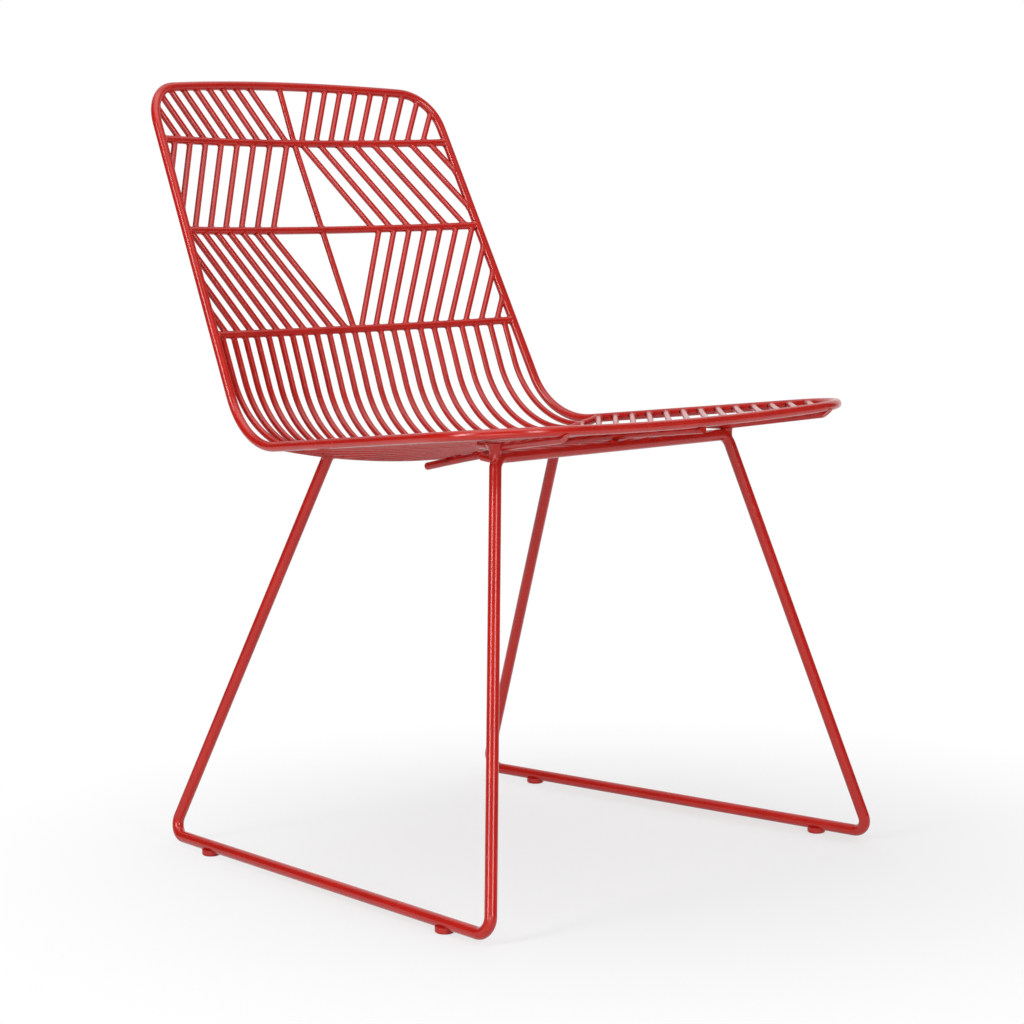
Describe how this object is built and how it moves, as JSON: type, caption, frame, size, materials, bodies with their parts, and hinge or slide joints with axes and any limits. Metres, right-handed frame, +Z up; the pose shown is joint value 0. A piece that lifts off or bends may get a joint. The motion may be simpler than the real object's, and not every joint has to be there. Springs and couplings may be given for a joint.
{
  "type": "wire dining chair",
  "caption": "Powder-coated steel wire dining chair: hollowed back, dished chevron seat and a bent-rod sled base on small glides.",
  "frame": {"origin": "on the floor, under the middle of the chair's bounding box", "axes": "+Z up, -Y the way the sitter faces, +X to the sitter's left"},
  "size_m": [0.5568, 0.6094, 0.7752],
  "materials": {
    "powder_coat": "satin gloss red powder coat",
    "glide_nylon": "red moulded nylon"
  },
  "bodies": {
    "root": {"back_centre_bars": "powder_coat", "back_rail_lower": "powder_coat", "back_rail_middle": "powder_coat", "back_rail_upper": "powder_coat", "front_crossbar": "powder_coat", "front_glide_left": "glide_nylon", "front_glide_right": "glide_nylon", "leg_post_left": "powder_coat", "leg_post_right": "powder_coat", "leg_stub_left": "powder_coat", "leg_stub_right": "powder_coat", "lower_band_wires_left": "powder_coat", "lower_band_wires_right": "powder_coat", "lower_wire_01": "powder_coat", "lower_wire_02": "powder_coat", "lower_wire_03": "powder_coat", "lower_wire_04": "powder_coat", "lower_wire_05": "powder_coat", "lower_wire_06": "powder_coat", "lower_wire_07": "powder_coat", "lower_wire_08": "powder_coat", "lower_wire_09": "powder_coat", "lower_wire_10": "powder_coat", "lower_wire_11": "powder_coat", "lower_wire_12": "powder_coat", "lower_wire_13": "powder_coat", "lower_wire_14": "powder_coat", "lower_wire_15": "powder_coat", "lower_wire_16": "powder_coat", "lower_wire_17": "powder_coat", "lower_wire_18": "powder_coat", "lower_wire_19": "powder_coat", "lower_wire_20": "powder_coat", "lower_wire_21": "powder_coat", "lower_wire_22": "powder_coat", "lower_wire_23": "powder_coat", "middle_band_wires_left": "powder_coat", "middle_band_wires_right": "powder_coat", "rear_glide_left": "glide_nylon", "rear_glide_right": "glide_nylon", "rim_left": "powder_coat", "rim_right": "powder_coat", "seat_bracket_left": "powder_coat", "seat_bracket_right": "powder_coat", "seat_front_wires_left": "powder_coat", "seat_front_wires_right": "powder_coat", "seat_middle_wires_left": "powder_coat", "seat_middle_wires_right": "powder_coat", "seat_rear_rail": "powder_coat", "seat_rear_wires_left": "powder_coat", "seat_rear_wires_right": "powder_coat", "seat_spine": "powder_coat", "sled_left": "powder_coat", "sled_right": "powder_coat", "upper_band_wires_left": "powder_coat", "upper_band_wires_right": "powder_coat"}
  },
  "joints": []
}
